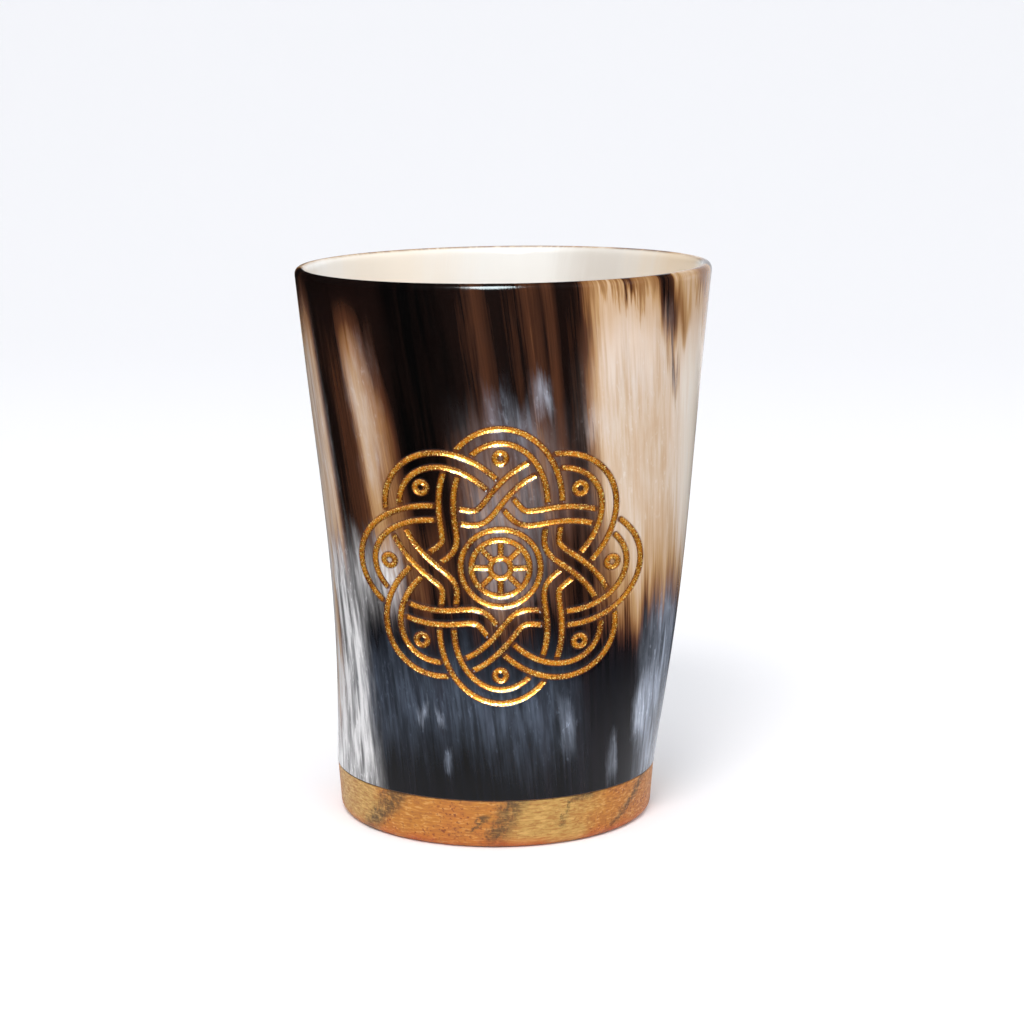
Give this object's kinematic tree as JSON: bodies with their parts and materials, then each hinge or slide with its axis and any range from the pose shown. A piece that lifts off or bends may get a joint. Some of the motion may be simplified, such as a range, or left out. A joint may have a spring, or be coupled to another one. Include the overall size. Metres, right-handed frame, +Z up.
{
  "type": "horn drinking cup",
  "caption": "Straight-sided beaker cut from horn, with a slightly slanting rim, a turned wooden base that closes it, and a gilt interlaced knot engraved on the front.",
  "frame": {"origin": "middle of the foot's underside", "axes": "+Z up along the cup, -Y towards the engraved front, +X to the right as seen from the front, the side to which the horn leans and where the rim is higher"},
  "size_m": [0.0802, 0.0802, 0.108],
  "materials": {
    "horn": "polished horn, black and brown with cream streaks, lacquered inside",
    "wood": "oiled, close to orange, with dark pores and spalted patches",
    "resin": "clear amber resin",
    "gilt": "grainy gold paint in engraved lines"
  },
  "bodies": {
    "root": {"horn_sleeve": "horn", "base_plug": "wood", "glue_film": "resin", "sealing_bead": "resin", "gilt_knot": "gilt", "gilt_hub": "gilt", "gilt_lobe_rings": "gilt"}
  },
  "joints": []
}
